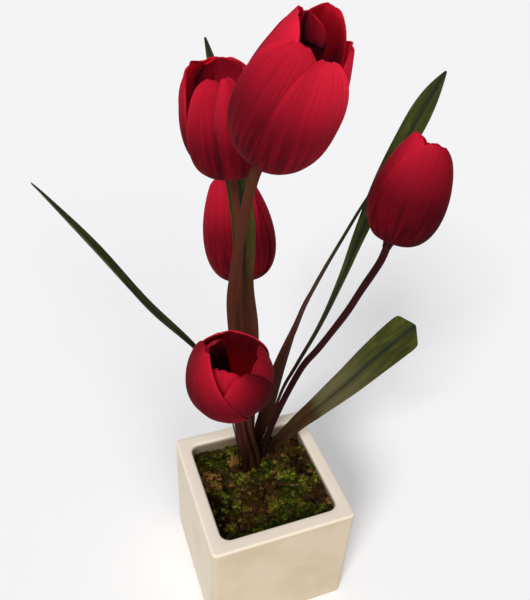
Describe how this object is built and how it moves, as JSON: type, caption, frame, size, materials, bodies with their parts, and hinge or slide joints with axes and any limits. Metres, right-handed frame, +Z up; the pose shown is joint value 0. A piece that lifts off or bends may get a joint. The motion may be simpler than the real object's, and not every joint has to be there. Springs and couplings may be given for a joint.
{
  "type": "potted tulip",
  "caption": "Red tulips with cupped blooms on slender stems and long strap leaves, standing in a square cream pot filled with moss.",
  "frame": {"origin": "middle of the pot's flat underside", "axes": "+Z up, the pot's front face towards -Y, the pot's left face towards -X"},
  "size_m": [0.2248, 0.141, 0.4118],
  "materials": {
    "pot_ceramic": "matte cream",
    "foam": "open-cell foam",
    "moss": "clumped dry moss",
    "stem": "satin brown",
    "petal": "silky, finely pleated",
    "leaf": "satin olive green"
  },
  "bodies": {
    "root": {"pot": "pot_ceramic", "foam_block": "foam", "moss_mat": "moss", "stem_a": "stem", "stem_b": "stem", "stem_c": "stem", "stem_d": "stem", "stem_e": "stem", "bloom_a": "petal", "bloom_b": "petal", "bloom_c": "petal", "bloom_d": "petal", "bloom_e": "petal", "leaf_1": "leaf", "leaf_2": "leaf", "leaf_3": "leaf", "leaf_4": "leaf", "leaf_5": "leaf"}
  },
  "joints": []
}
